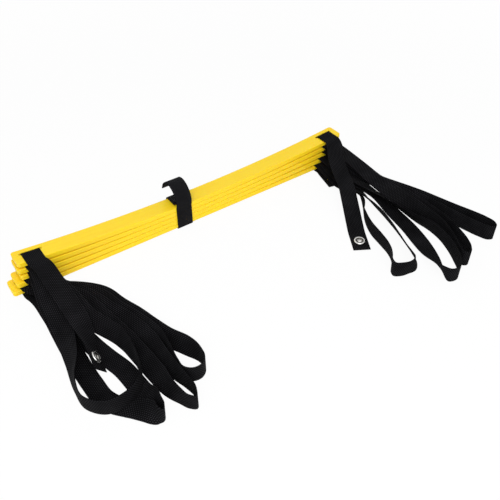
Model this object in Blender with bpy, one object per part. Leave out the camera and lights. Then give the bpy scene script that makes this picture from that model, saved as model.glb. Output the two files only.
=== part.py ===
"""Folded agility ladder: flat rungs, two webbing rails in loops, a tie strap and snaps.

Metres, +Z up. X runs along the rungs and -Y is the side where the loops lie.
The origin is on the floor under the middle of the tie strap.
"""

import math

import bmesh
import bpy
from mathutils import Matrix, Vector

MM = 0.001
DEG = math.pi / 180

# Clearances
FACE_GAP = 0.3 * MM
SLOT_SIDE_PLAY = 2.3 * MM

# Rungs
RUNG_COUNT = 5
RUNG_LENGTH = 433 * MM
RUNG_WIDTH = 22 * MM
RUNG_THICKNESS = 5.6 * MM
RUNG_CORNER_RADIUS = 3.2 * MM
RUNG_EDGE_RADIUS = 1.2 * MM
RUNG_STATIONS = 20
RUNG_EDGE_STEPS = 2
RUNG_CORNER_STEPS = 4
BUNDLE_SHIFT = 17 * MM
# How far each rung has slid along, bottom rung first
RUNG_SLIDES = [-7 * MM, -1 * MM, 5 * MM, 4 * MM, 5.5 * MM]

# Webbing
WEB_WIDTH = 20 * MM
WEB_THICKNESS = 0.8 * MM
WEB_BEND = 1.35 * MM
WEB_STEP = 12 * MM
WEB_TURN = 12 * DEG
BEND_STEPS = 4

# Slots, one near each end of a rung
SLOT_FROM_END = 18.5 * MM
SLOT_Y = 3.5 * MM
SLOT_WIDTH = 3.2 * MM
SLOT_LENGTH = WEB_WIDTH + 2 * SLOT_SIDE_PLAY

# Tie strap
TIE_WIDTH = 20 * MM
TIE_THICKNESS = 1.2 * MM
TIE_CORNER = 2.2 * MM
TIE_CORNER_STEPS = 4
TIE_TOP_PLAY = 0.5 * MM
TIE_TRAVEL = 20 * MM
TIE_LAP = 5.5 * MM
TIE_END_DROP = 1.5 * MM
PAD_THICKNESS = 0.8 * MM
PAD_MARGIN = 1.5 * MM
PAD_INSET = 2.5 * MM
HOOK_PAD_SAMPLES = 4

# The grid that the routes of the webbing's free stretches are drawn on
LOOP_GRID = 1 * MM

# Snaps
CAP_DIAMETER = 13 * MM
CAP_HEIGHT = 0.9 * MM
SNAP_BORE = 5 * MM
SNAP_POST = 4.4 * MM
SOCKET_HEIGHT = 2.0 * MM
SOCKET_BORE = 6.2 * MM
SOCKET_FLOOR = 0.6 * MM
SOCKET_LIP = 0.5 * MM
STUD_DIAMETER = 5.4 * MM
STUD_HEIGHT = 2.2 * MM
STUD_FLANGE = 11 * MM
STUD_FLANGE_HEIGHT = 0.8 * MM
STUD_FILLET = 0.5 * MM
STUD_MOUTH = 1.8 * MM
STUD_FLOOR = 1.3 * MM
SNAP_FROM_END = 14 * MM
SNAP_SIDES = 24
DRILL_REACH = 3 * MM

# Colours and roughness
YELLOW = (0.95, 0.62, 0.02)
YELLOW_ROUGHNESS = 0.38
CARBON = (0.012, 0.012, 0.014)
WEB_ROUGHNESS = 0.85
NICKEL = (0.75, 0.74, 0.72)
NICKEL_ROUGHNESS = 0.25

# Heights between the rungs
WEB_GAP = 2 * WEB_THICKNESS + 2.5 * FACE_GAP
BOW_AT = RUNG_LENGTH / 2 - SLOT_FROM_END - WEB_WIDTH / 2 - SLOT_SIDE_PLAY
BOTTOM_CLEAR = TIE_THICKNESS + FACE_GAP


def gap_at(x):
    """The gap between two rungs at distance x from the middle of the bundle."""
    return FACE_GAP + (WEB_GAP - FACE_GAP) * (x / BOW_AT) ** 2


def rung_under(index, x):
    """The height of a rung's underside."""
    return BOTTOM_CLEAR + index * (RUNG_THICKNESS + gap_at(x))


def gap_middle(index, x):
    """The middle height of the gap above a rung."""
    return rung_under(index, x) + RUNG_THICKNESS + gap_at(x) / 2


def gap_slope(index, x):
    """The slope along X of the middle of the gap above a rung."""
    return (index + 0.5) * (WEB_GAP - FACE_GAP) * 2 * x / BOW_AT**2


def clear_scene():
    for thing in list(bpy.data.objects):
        bpy.data.objects.remove(thing, do_unlink=True)


def material(name, colour, roughness, metallic=0.0):
    made = bpy.data.materials.new(name)
    made.use_nodes = True
    shader = made.node_tree.nodes["Principled BSDF"]
    shader.inputs["Base Color"].default_value = (*colour, 1)
    shader.inputs["Roughness"].default_value = roughness
    shader.inputs["Metallic"].default_value = metallic
    return made


def new_object(name, mesh, paint):
    mesh.materials.append(paint)
    made = bpy.data.objects.new(name, mesh)
    bpy.context.scene.collection.objects.link(made)
    return made


def mesh_from(name, points, faces):
    mesh = bpy.data.meshes.new(name)
    mesh.from_pydata([tuple(p) for p in points], [], faces)
    shape = bmesh.new()
    shape.from_mesh(mesh)
    bmesh.ops.recalc_face_normals(shape, faces=shape.faces)
    shape.to_mesh(mesh)
    shape.free()
    return mesh


def ring_solid(name, rings):
    """A closed solid through rings of points, with flat caps."""
    count = len(rings[0])
    points = [p for ring in rings for p in ring]
    faces = []
    for row in range(len(rings) - 1):
        for k in range(count):
            a = row * count + k
            b = row * count + (k + 1) % count
            faces.append((a, b, b + count, a + count))
    faces.append(tuple(reversed(range(count))))
    last = (len(rings) - 1) * count
    faces.append(tuple(range(last, last + count)))
    return mesh_from(name, points, faces)


# Rungs


def rung_section(half_width):
    """A rounded bar section at one station, as (y, z) from the underside."""
    points = []
    middle = RUNG_THICKNESS / 2
    corners = [(1, 1, 0), (-1, 1, 90), (-1, -1, 180), (1, -1, 270)]
    for side, level, start in corners:
        for step in range(RUNG_EDGE_STEPS + 1):
            angle = (start + 90 * step / RUNG_EDGE_STEPS) * DEG
            y = side * (half_width - RUNG_EDGE_RADIUS) + RUNG_EDGE_RADIUS * math.cos(angle)
            z = middle + level * (middle - RUNG_EDGE_RADIUS) + RUNG_EDGE_RADIUS * math.sin(angle)
            points.append((y, z))
    return points


def rung_stations():
    """Places along a rung with the half width there, closer at the round corners."""
    half = RUNG_LENGTH / 2
    straight = half - RUNG_CORNER_RADIUS
    flat = RUNG_WIDTH / 2 - RUNG_CORNER_RADIUS
    ends = []
    for step in range(RUNG_CORNER_STEPS + 1):
        angle = 90 * DEG * step / RUNG_CORNER_STEPS
        out = straight + RUNG_CORNER_RADIUS * math.sin(angle)
        ends.append((out, flat + RUNG_CORNER_RADIUS * math.cos(angle)))
    inner = []
    for step in range(1, RUNG_STATIONS):
        inner.append((straight * (2 * step / RUNG_STATIONS - 1), RUNG_WIDTH / 2))
    left = [(-x, w) for x, w in reversed(ends)]
    return left + inner + ends


def rung_mesh(name, index):
    slide = RUNG_SLIDES[index]
    rings = []
    for along, half_width in rung_stations():
        base = rung_under(index, along + slide)
        rings.append([(along, y, base + z) for y, z in rung_section(half_width)])
    return ring_solid(name, rings)


def slot_cutter(name, along, index):
    """A round-ended prism that cuts one slot through a bowed rung."""
    half_width = SLOT_WIDTH / 2
    straight = SLOT_LENGTH / 2 - half_width
    outline = []
    for side, start in ((1, -90), (-1, 90)):
        for step in range(7):
            angle = (start + 30 * step) * DEG
            x = along + side * straight + half_width * math.cos(angle)
            outline.append((x, SLOT_Y + half_width * math.sin(angle)))
    low = rung_under(index, along) - 2 * RUNG_THICKNESS
    high = rung_under(index, along) + 3 * RUNG_THICKNESS
    rings = [[(x, y, z) for x, y in outline] for z in (low, high)]
    cutter = bpy.data.objects.new(name, ring_solid(name, rings))
    bpy.context.scene.collection.objects.link(cutter)
    cutter.hide_render = True
    cutter.display_type = "WIRE"
    return cutter


def slot_x(index, side):
    """The middle of a rung's slot along the bundle."""
    return side * (RUNG_LENGTH / 2 - SLOT_FROM_END) + RUNG_SLIDES[index]


def build_rung(index, paint):
    name = f"rung_{index + 1}"
    rung = new_object(name, rung_mesh(name, index), paint)
    rung.location.x = BUNDLE_SHIFT + RUNG_SLIDES[index]
    for side, word in ((-1, "left"), (1, "right")):
        along = side * (RUNG_LENGTH / 2 - SLOT_FROM_END)
        cutter = slot_cutter(f"{name}_slot_{word}", along, index)
        cutter.location.x = rung.location.x
        cut = rung.modifiers.new(f"slot_{word}", "BOOLEAN")
        cut.operation = "DIFFERENCE"
        cut.object = cutter
    rung.data.polygons.foreach_set("use_smooth", [True] * len(rung.data.polygons))
    rung.data.set_sharp_from_angle(angle=35 * DEG)
    return rung


# Webbing ribbons, each from knots of a place, an outward direction and a roll


def across(heading, roll):
    """The ribbon's width direction for a heading in plan and a roll about it."""
    flat = Vector((-heading.y, heading.x, 0))
    if flat.length < 1e-6:
        flat = Vector((1, 0, 0))
    flat.normalize()
    if flat.x < 0:
        flat = -flat
    return flat * math.cos(roll) + Vector((0, 0, 1)) * math.sin(roll)


def smooth_knots(knots):
    """Samples along a smooth curve through knots of (place, width direction)."""
    samples = []
    count = len(knots)
    for i in range(count - 1):
        p0, p1, p2, p3 = (knots[min(max(i + k, 0), count - 1)] for k in (-1, 0, 1, 2))
        d1 = (p2[0] - p1[0]).length
        d0 = max((p1[0] - p0[0]).length, 1e-9) if i > 0 else d1
        d2 = max((p3[0] - p2[0]).length, 1e-9) if i < count - 2 else d1
        turn = max(direction_change(p0[0], p1[0], p2[0], p3[0]), p1[1].angle(p2[1]))
        steps = max(1, round(d1 / WEB_STEP), math.ceil(turn / WEB_TURN) if d1 > WEB_BEND else 1)
        for s in range(steps):
            t = s / steps
            samples.append(tuple(hermite(p0[c], p1[c], p2[c], p3[c], d0, d1, d2, t) for c in (0, 1)))
    samples.append(knots[-1])
    return samples


def direction_change(p0, p1, p2, p3):
    """The angle by which a route turns between its second and third of four places."""
    before = p2 - p0
    after = p3 - p1
    if before.length < FACE_GAP or after.length < FACE_GAP:
        return 0
    return before.angle(after)


def hermite(p0, p1, p2, p3, d0, d1, d2, t):
    """A point of the chord-length cubic between p1 and p2."""
    m1 = d1 * ((p1 - p0) / d0 - (p2 - p0) / (d0 + d1) + (p2 - p1) / d1)
    m2 = d1 * ((p2 - p1) / d1 - (p3 - p1) / (d1 + d2) + (p3 - p2) / d2)
    t2 = t * t
    t3 = t2 * t
    return p1 * (2 * t3 - 3 * t2 + 1) + m1 * (t3 - 2 * t2 + t) + p2 * (3 * t2 - 2 * t3) + m2 * (t3 - t2)


def ribbon_frames(samples):
    """Place, width direction and face direction at each sample."""
    frames = []
    for i, (place, width) in enumerate(samples):
        ahead = samples[min(i + 1, len(samples) - 1)][0]
        behind = samples[max(i - 1, 0)][0]
        if 0 < i < len(samples) - 1:
            tangent = (ahead - place).normalized() + (place - behind).normalized()
        else:
            tangent = ahead - behind
        tangent.normalize()
        width = (width - tangent * width.dot(tangent)).normalized()
        frames.append((place, width, tangent.cross(width)))
    return frames


def ribbon_mesh(name, samples, width=WEB_WIDTH, thickness=WEB_THICKNESS):
    """A ribbon whose two wide faces are cut along parallel diagonals, so that twists keep them apart."""
    points = []
    for place, wide, face in ribbon_frames(samples):
        w = wide * (width / 2)
        n = face * (thickness / 2)
        points += [place + w + n, place - w + n, place - w - n, place + w - n]
    faces = [(3, 2, 1, 0)]
    last = len(points) - 4
    for a in range(0, last, 4):
        b, c, d, e, f, g, h = range(a + 1, a + 8)
        faces += [(a, b, f), (a, f, e), (b, c, g), (b, g, f), (c, d, g), (d, h, g), (d, a, e), (d, e, h)]
    faces.append((last, last + 1, last + 2, last + 3))
    return mesh_from(name, points, faces)


def slot_turn(index, side, up, level):
    """Knots from inside a slot, round its near edge, to the rung's near edge.

    up is 1 where the webbing leaves the slot upwards and -1 where it leaves downwards;
    level is the height of its flat run over the middle of the slot.
    """
    x = slot_x(index, side)
    slope = slope_over(index, x, up)
    wide = Vector((math.cos(slope), 0, math.sin(slope)))
    start = rung_under(index, x) + RUNG_THICKNESS / 2 + up * FACE_GAP / 2
    knots = [(Vector((x, SLOT_Y, start)), wide)]
    for step in range(BEND_STEPS + 1):
        angle = 90 * DEG * step / BEND_STEPS
        y = SLOT_Y - WEB_BEND * (1 - math.cos(angle))
        z = level - up * WEB_BEND * (1 - math.sin(angle))
        knots.append((Vector((x, y, z)), wide))
    knots.append((Vector((x, -RUNG_WIDTH / 4, level)), wide))
    knots.append((Vector((x, -RUNG_WIDTH / 2, level)), wide))
    return knots


def slope_over(index, x, up):
    """The slope of the webbing's run above or below a rung."""
    if up > 0:
        return math.atan(gap_slope(index, x)) if index < RUNG_COUNT - 1 else top_slope(x)
    return math.atan(gap_slope(index - 1, x)) if index > 0 else 0.0


def top_slope(x):
    return math.atan((RUNG_COUNT - 1) * (WEB_GAP - FACE_GAP) * 2 * x / BOW_AT**2)


def route_knots(points, side):
    """Knots for a free stretch's (x, y, z, roll), in steps of the loop grid and degrees.

    x counts from the middle of an unslid slot, y from the middle of the bundle, z from the floor.
    """
    slot = Vector((side * (RUNG_LENGTH / 2 - SLOT_FROM_END), 0, 0))
    places = [slot + Vector(p[:3]) * LOOP_GRID for p in points]
    knots = []
    for i, point in enumerate(points):
        ahead = places[min(i + 1, len(points) - 1)]
        behind = places[max(i - 1, 0)]
        knots.append((places[i], across(ahead - behind, point[3] * DEG)))
    return knots


def web_offset():
    """Half the distance between the two layers in a gap."""
    return (WEB_THICKNESS + FACE_GAP) / 2


def build_loop(name, index, side, points, paint):
    """One loop of webbing, from the slot of a rung to the slot of the rung above."""
    x_low = slot_x(index, side)
    x_high = slot_x(index + 1, side)
    upper = slot_turn(index + 1, side, -1, gap_middle(index, x_high) + web_offset())
    lower = slot_turn(index, side, 1, gap_middle(index, x_low) - web_offset())
    knots = upper + route_knots(points, side) + list(reversed(lower))
    return place_web(name, smooth_knots(knots), paint)


def place_web(name, samples, paint, origin=Vector((0, 0, 0))):
    """A ribbon of webbing whose own origin is the given place in the bundle."""
    moved = [(place - origin, wide) for place, wide in samples]
    web = new_object(name, ribbon_mesh(name, moved), paint)
    web.location = origin + Vector((BUNDLE_SHIFT, 0, 0))
    web.data.polygons.foreach_set("use_smooth", [True] * len(web.data.polygons))
    web.data.set_sharp_from_angle(angle=35 * DEG)
    return web


# Where the left loops lie, from the upper slot out to the tip and back to the lower slot, as
# (x, y, z, roll) in steps of the grid
LEFT_LOOP_4_SHARES = [
    (4, -32, 31.2, -1), (-1, -62, 24, 3), (-5, -97, 16, 18), (-12, -130, 13, 48),
    (-21.5, -160, 13, 80), (-22.5, -183, 14, 90), (-9, -199.5, 15, 90), (12, -200.5, 15.5, 90),
    (29.5, -190, 15, 90), (36.5, -167, 14, 84), (36, -135, 14.5, 62), (21.5, -97, 18.5, 40),
    (15, -60, 24.5, 18), (8, -30, 29.9, 2),
]
LEFT_LOOP_3_SHARES = [
    (1, -32, 24, 0), (-4, -62, 16.5, 0), (-6, -97, 8, 2), (-6.5, -130, 2.6, 0), (-6, -158, 0.8, 0),
    (-4, -180, 0.7, 0), (1.5, -191.5, 0.7, 0), (8.5, -200, 1.4, 4), (15, -208.2, 3.1, 14),
    (19.5, -216, 6, 32), (22.5, -223.7, 8.8, 54), (24.5, -228.3, 10.2, 76), (27.6, -231.4, 10.3, 86),
    (30.9, -228, 10.3, 88), (31, -219.5, 10.1, 76), (30, -210.5, 8.3, 50), (28.5, -201.5, 4.6, 24),
    (27.3, -192, 1.4, 5), (26.5, -180, 0.8, 0), (24.5, -160, 0.8, 0), (18.5, -138, 0.8, 0),
    (13, -115, 1.6, 0), (9.5, -97, 4.4, 0), (9.5, -62, 12.9, 2), (9, -30, 22.6, 1),
]
LEFT_LOOP_2_SHARES = [
    (8, -32, 16, 2), (26, -62, 12.8, 18), (34.5, -97, 9.8, 38), (41, -130, 7.7, 40),
    (44.2, -160, 6.6, 34), (45.8, -188, 7.2, 40), (46.5, -208, 9.2, 62), (49.5, -222, 10.3, 80),
    (53, -232, 10.3, 88), (58, -236.5, 10.3, 90), (62.5, -229, 10.3, 90), (62.5, -212, 10.3, 84),
    (60.5, -198, 9.8, 72), (58.5, -176, 8.6, 52), (59, -150, 8, 46), (55, -125, 8.6, 44),
    (45, -97, 10.2, 42), (32.5, -60, 9.7, 20), (14, -33, 14.2, 5), (3.5, -20, 15.7, 1),
]
LEFT_LOOP_1_SHARES = [
    (4.5, -21, 8.9, 1), (17, -33, 8.4, 5), (41, -60, 6.9, 20), (51.5, -97, 9.4, 46), (61, -125, 9.4, 50),
    (66.8, -150, 9.6, 60), (67, -175, 10.3, 82), (65.5, -192, 10.3, 90), (65.5, -203, 10.3, 90),
    (71, -209, 10.3, 90), (80, -210, 10.3, 90), (87, -204.5, 10.3, 90), (88.5, -193, 10.2, 82),
    (84, -175, 9, 58), (75.5, -157, 8.8, 54), (69.5, -137, 8.8, 54), (63.5, -115, 9, 52),
    (57, -97, 9.2, 50), (47, -60, 5.6, 22), (20, -33, 6.8, 5), (-1, -20, 7.7, 1),
]

# Where the right loops lie, the same way
RIGHT_LOOP_4_SHARES = [
    (8.5, -32, 31.5, 0), (10.5, -62, 26.5, 4), (12.5, -95, 19.8, 16), (16.5, -125, 14.8, 38),
    (19.5, -148, 12, 62), (22, -168, 10.8, 82), (22, -190, 10.3, 90), (17, -206, 10.3, 90),
    (8.5, -224, 10.3, 90), (0.5, -238, 10.3, 90), (-2.5, -246, 10.3, 90), (2, -249.5, 10.3, 90),
    (10, -244, 10.3, 90), (17, -233, 10.3, 90), (23, -217, 10.3, 90), (28, -200, 10.3, 90),
    (30, -180, 10.3, 88), (29, -165, 10.6, 80), (26.5, -148, 11.5, 66), (22.5, -125, 13.5, 44),
    (16, -95, 17, 19), (11.5, -62, 22.6, 5), (6, -30, 29.9, 0),
]
RIGHT_LOOP_3_SHARES = [
    (6, -32, 24, 0), (11, -62, 18.8, 5), (20, -95, 14.2, 20), (28.5, -125, 11.6, 46),
    (35, -148, 10.8, 68), (40.5, -168, 10.4, 82), (45, -190, 10.3, 90), (48.5, -210, 10.3, 90),
    (52, -225, 10.3, 90), (56, -234.5, 10.3, 90), (61.5, -237, 10.3, 90), (65.5, -232, 10.3, 90),
    (65.5, -220, 10.3, 90), (62, -205, 10.3, 90), (56, -187, 10.3, 88), (49, -167, 10.4, 80),
    (42, -148, 10.8, 66), (33.5, -125, 11.2, 44), (24, -95, 11.6, 20), (11, -62, 15.9, 5),
    (6, -30, 22.6, 0),
]
RIGHT_LOOP_2_SHARES = [
    (2, -32, 16, 0), (1.5, -62, 12.5, -8), (2.5, -84, 11.4, -20), (2.5, -104, 11.9, -32),
    (4, -138, 12, -50), (7.5, -165, 9.9, -64), (10.5, -184, 10, -74), (9.5, -200, 10.2, -80),
    (4, -219, 10.3, -86), (-4.5, -237, 10.3, -90), (-14, -251, 10.3, -90), (-25.5, -258.5, 10.3, -90),
    (-34.5, -256, 10.3, -86), (-35, -246, 9.9, -68), (-29, -233, 6.9, -38), (-20.5, -217, 3.3, -14),
    (-11.5, -196, 1.1, 0), (-3, -168, 1, 0), (1.5, -138, 2.7, -4), (4.5, -104, 7, -14),
    (1.5, -84, 8.5, -14), (-2, -62, 9.8, -9), (-1, -30, 14.5, 0),
]
RIGHT_LOOP_1_SHARES = [
    (-5, -32, 8.1, 0), (-9, -62, 7.3, -8), (-8.5, -84, 7.5, -26), (-11.5, -104, 9.4, -48),
    (-17, -138, 9.6, -62), (-24, -163, 9.4, -62), (-31.5, -184, 9.2, -60), (-38.5, -202, 9.2, -60),
    (-44, -214, 9.6, -66), (-51, -221.5, 10.2, -80), (-60, -222.5, 10.3, -88),
    (-69.5, -220, 10.3, -90), (-76, -215, 10.3, -90), (-74, -209, 10.3, -88),
    (-68, -203.5, 10.3, -84), (-62.5, -197, 10.3, -82), (-57, -186, 10.3, -82),
    (-53, -171, 10.3, -84), (-48, -150, 10.3, -85), (-37.5, -128, 10.3, -82),
    (-25.5, -111, 10.3, -74), (-17, -100, 10, -58), (-13, -91, 8.2, -40), (-12, -82, 6, -25),
    (-13.5, -62, 5, -6), (-10, -32, 6.6, 0),
]

# Free ends of the rails: over the top rung, and under the bottom one
LEFT_TOP_END_SHARES = [
    (8, -24, 39.3, -2), (9.5, -45, 35.5, 0), (10.5, -72, 30.8, 0), (11, -98, 26.5, -8),
    (10, -116, 22, -34), (7.5, -130, 17.5, -60),
]
RIGHT_TOP_END_SHARES = [
    (2.5, -24, 39, 2), (-7.5, -39, 32.3, 1), (-17.5, -62, 23, 0), (-25.5, -81, 18.8, 0),
    (-35, -97, 14.8, 0), (-44.5, -113, 10, 0), (-52, -126, 5.2, 0), (-61, -141, 1.9, 0),
]
LEFT_BOTTOM_END_SHARES = [
    (-5, -24, 1.3, 0), (-3.5, -40, 1.8, 0),
]
RIGHT_BOTTOM_END_SHARES = [
    (-7.7, -19, 1.3, 0), (-10.2, -27, 1.8, 0),
]
END_STRAIGHT = 28 * MM
SEAM_RUN = 4 * MM
END_SHARES = (0.25, 0.5, 0.75, 1)

# Which way each free end lies once it is straight
LEFT_TOP_HEADING = (-2, -20, -5)
RIGHT_TOP_HEADING = (-10, -17, -0.2)
LEFT_BOTTOM_HEADING = (0, -1, 0)
RIGHT_BOTTOM_HEADING = (-3, -12, 0)

# The free tail of the tie strap, from its hinge up and over, as (y, z) in steps of the grid
TAIL_SHARES = [
    (-1.1, 6.6), (-0.5, 12.1), (2.9, 18.6), (8.9, 23.9), (16.4, 26.1), (23.9, 24.1), (29.1, 18.6),
    (31.7, 12.1),
]


def turned(name, profile, sides=SNAP_SIDES):
    """A closed solid turned about Z from a closed (radius, height) profile."""
    points = []
    for r, z in profile:
        for k in range(sides):
            angle = 2 * math.pi * k / sides
            points.append((r * math.cos(angle), r * math.sin(angle), z))
    faces = []
    rows = len(profile)
    for row in range(rows):
        after = (row + 1) % rows
        for k in range(sides):
            b = (k + 1) % sides
            faces.append((row * sides + k, row * sides + b, after * sides + b, after * sides + k))
    return mesh_from(name, points, faces)


def end_knots(index, side, up, points, heading):
    """Knots of a free end, from inside its slot to its straight tip."""
    x = slot_x(index, side)
    rise = WEB_THICKNESS / 2 + FACE_GAP
    level = rung_under(index, x) - rise
    if up > 0:
        level = rung_under(index, x) + RUNG_THICKNESS + rise
    knots = slot_turn(index, side, up, level)
    place, wide = knots[-1]
    knots.append((place - Vector((0, FACE_GAP, 0)), wide))
    knots.append((place - Vector((0, FACE_GAP + SEAM_RUN, 0)), wide))
    free = route_knots(points, side)
    last, wide = free[-1]
    ahead = Vector(heading).normalized()
    wide = (wide - ahead * wide.dot(ahead)).normalized()
    free[-1] = (last, wide)
    for share in END_SHARES:
        free.append((last + ahead * (END_STRAIGHT * share), wide))
    return knots + free


def snap_frame(knots):
    """The place and axes of the snap near the end of a ribbon's knots."""
    last, wide = knots[-1]
    ahead = (last - knots[-2][0]).normalized()
    face = ahead.cross(wide)
    if face.z < 0:
        face = -face
    return last - ahead * SNAP_FROM_END, wide, face


def facing(wide, face):
    """A rotation with X along the width and Z along the face."""
    side = face.cross(wide)
    return Matrix((wide, side, face)).transposed().to_euler()


def snap_cap_mesh(name):
    """A low domed cap with the post that goes through the webbing."""
    r = CAP_DIAMETER / 2
    post = SNAP_POST / 2
    top = CAP_HEIGHT + WEB_THICKNESS + 2 * FACE_GAP + SOCKET_FLOOR
    crown = [(0.4, 0), (0.85, 0.3), (1, 0.8), (1, 1)]
    profile = [(share * r, level * CAP_HEIGHT) for share, level in crown]
    return poled(name, profile + [(post, CAP_HEIGHT), (post, top)])


def poled(name, profile, sides=SNAP_SIDES):
    """A solid turned about Z whose first and last rings are closed flat."""
    rings = []
    for r, z in profile:
        ring = []
        for k in range(sides):
            angle = 2 * math.pi * k / sides
            ring.append((r * math.cos(angle), r * math.sin(angle), z))
        rings.append(ring)
    return ring_solid(name, rings)


def socket_mesh(name):
    """A ring with a narrow floor for the post and a wider mouth for a stud."""
    r = CAP_DIAMETER / 2
    floor = SNAP_BORE / 2
    mouth = SOCKET_BORE / 2
    inner = r - SOCKET_LIP
    top = SOCKET_HEIGHT
    profile = [(floor, 0), (inner, 0), (r, SOCKET_LIP), (r, top - SOCKET_LIP), (inner, top)]
    return turned(name, profile + [(mouth, top), (mouth, SOCKET_FLOOR), (floor, SOCKET_FLOOR)])


def stud_mesh(name):
    """A flange with a hollow nub that presses into a socket."""
    r = STUD_FLANGE / 2
    nub = STUD_DIAMETER / 2
    floor = SNAP_BORE / 2
    mouth = STUD_MOUTH / 2
    flange = STUD_FLANGE_HEIGHT
    profile = [(floor, 0), (r, 0), (r, flange), (nub + STUD_FILLET, flange)]
    profile += [(nub, flange + STUD_FILLET), (nub, STUD_HEIGHT - STUD_FILLET)]
    profile += [(nub - STUD_FILLET, STUD_HEIGHT), (mouth, STUD_HEIGHT), (mouth, STUD_FLOOR)]
    return turned(name, profile + [(floor, STUD_FLOOR - FACE_GAP)])


def drill_hole(web, place, turn):
    """Cuts the hole that a snap's post goes through."""
    name = f"{web.name}_hole"
    half = SNAP_BORE / 2
    drill = bpy.data.objects.new(name, poled(name, [(half, -DRILL_REACH), (half, DRILL_REACH)]))
    bpy.context.scene.collection.objects.link(drill)
    drill.hide_render = True
    drill.display_type = "WIRE"
    drill.location = place
    drill.rotation_euler = turn
    cut = web.modifiers.new("snap_hole", "BOOLEAN")
    cut.operation = "DIFFERENCE"
    cut.object = drill


def build_end(name, index, side, up, points, heading, web_paint, metal):
    """A free end of a rail with its snap; a top end is hinged at its rung's near edge."""
    knots = end_knots(index, side, up, points, heading)
    samples = smooth_knots(knots)
    origin = Vector((0, 0, 0))
    if up > 0:
        edge = len([p for p, wide in samples if p.y > -RUNG_WIDTH / 2 - FACE_GAP / 2])
        place_web(name.replace("end", "turn"), samples[:edge], web_paint)
        samples = samples[edge:]
        origin = hinge_at(samples[0])
    web = place_web(name, samples, web_paint, origin)
    place, wide, face = snap_frame(knots)
    turn = facing(wide, face)
    drill_hole(web, place + Vector((BUNDLE_SHIFT, 0, 0)), turn)
    rest = WEB_THICKNESS / 2 + FACE_GAP
    parts = [("cap", snap_cap_mesh, -rest - CAP_HEIGHT)]
    parts.append(("socket", socket_mesh, rest) if up > 0 else ("stud", stud_mesh, rest))
    for word, shape, lift in parts:
        piece = new_object(f"{name}_{word}", shape(f"{name}_{word}"), metal)
        piece.parent = web
        piece.location = place + face * lift - origin
        piece.rotation_euler = turn


def hinge_at(sample):
    """The middle of the seam's upper edge, where a top end starts."""
    place, wide = sample
    return place + Vector((0, FACE_GAP / 2, WEB_THICKNESS / 2))


# Tie strap


def tie_side():
    """How far out the middle of the tie strap's sides lies."""
    return RUNG_WIDTH / 2 + FACE_GAP + TIE_THICKNESS / 2


def tie_top():
    """The height of the middle of the tie strap over the top rung."""
    reach = BUNDLE_SHIFT + TIE_WIDTH / 2 + TIE_TRAVEL
    stack = rung_under(RUNG_COUNT - 1, reach) + RUNG_THICKNESS
    return stack + FACE_GAP + TIE_TOP_PLAY + TIE_THICKNESS / 2


def rounded(corners):
    """Samples of a strap's route in the YZ plane with its corners rounded."""
    wide = Vector((1, 0, 0))
    places = [Vector((0, y, z)) for y, z in corners]
    samples = [(places[0], wide)]
    for before, corner, after in zip(places, places[1:], places[2:]):
        inward = (before - corner).normalized()
        onward = (after - corner).normalized()
        centre = corner + (inward + onward) * TIE_CORNER
        for step in range(TIE_CORNER_STEPS + 1):
            angle = 90 * DEG * step / TIE_CORNER_STEPS
            arm = onward * math.cos(angle) + inward * math.sin(angle)
            samples.append((centre - arm * TIE_CORNER, wide))
    samples.append((places[-1], wide))
    return samples


def strap_piece(name, samples, width, thickness, origin, paint):
    moved = [(place - origin, wide) for place, wide in samples]
    piece = new_object(name, ribbon_mesh(name, moved, width, thickness), paint)
    piece.data.polygons.foreach_set("use_smooth", [True] * len(piece.data.polygons))
    piece.data.set_sharp_from_angle(angle=35 * DEG)
    return piece


def build_tie(paint):
    """The strap round the bundle, its free tail, and the two fastener pads."""
    side = tie_side()
    top = tie_top()
    low = TIE_THICKNESS / 2
    end = top - TIE_CORNER - TIE_END_DROP
    corners = [(TIE_LAP - side, top), (side, top), (side, low), (-side, low), (-side, end)]
    band = strap_piece("tie_band", rounded(corners), TIE_WIDTH, TIE_THICKNESS, Vector(), paint)
    lift = (TIE_THICKNESS + PAD_THICKNESS) / 2 + FACE_GAP
    span = [(TIE_LAP - side + PAD_INSET, top + lift), (side - TIE_CORNER - PAD_INSET, top + lift)]
    wide = Vector((1, 0, 0))
    loop = [(Vector((0, y, z)), wide) for y, z in span]
    pad_width = TIE_WIDTH - 2 * PAD_MARGIN
    pad = strap_piece("tie_loop_pad", loop, pad_width, PAD_THICKNESS, Vector(), paint)
    pad.parent = band
    foot = Vector((0, -side, end))
    route = [(foot + Vector((0, 0, FACE_GAP)), wide)]
    route += [(foot + Vector((0, y, z)) * LOOP_GRID, wide) for y, z in TAIL_SHARES]
    samples = smooth_knots(route)
    hinge = Vector((0, -side - TIE_THICKNESS / 2, end + FACE_GAP / 2))
    tail = strap_piece("tie_tail", samples, TIE_WIDTH, TIE_THICKNESS, hinge, paint)
    frames = ribbon_frames(samples)[-HOOK_PAD_SAMPLES - 1:-1]
    hooks = [(p + n * lift, w) for p, w, n in frames]
    hook = strap_piece("tie_hook_pad", hooks, pad_width, PAD_THICKNESS, hinge, paint)
    tail.location = hinge
    hook.parent = tail


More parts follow.
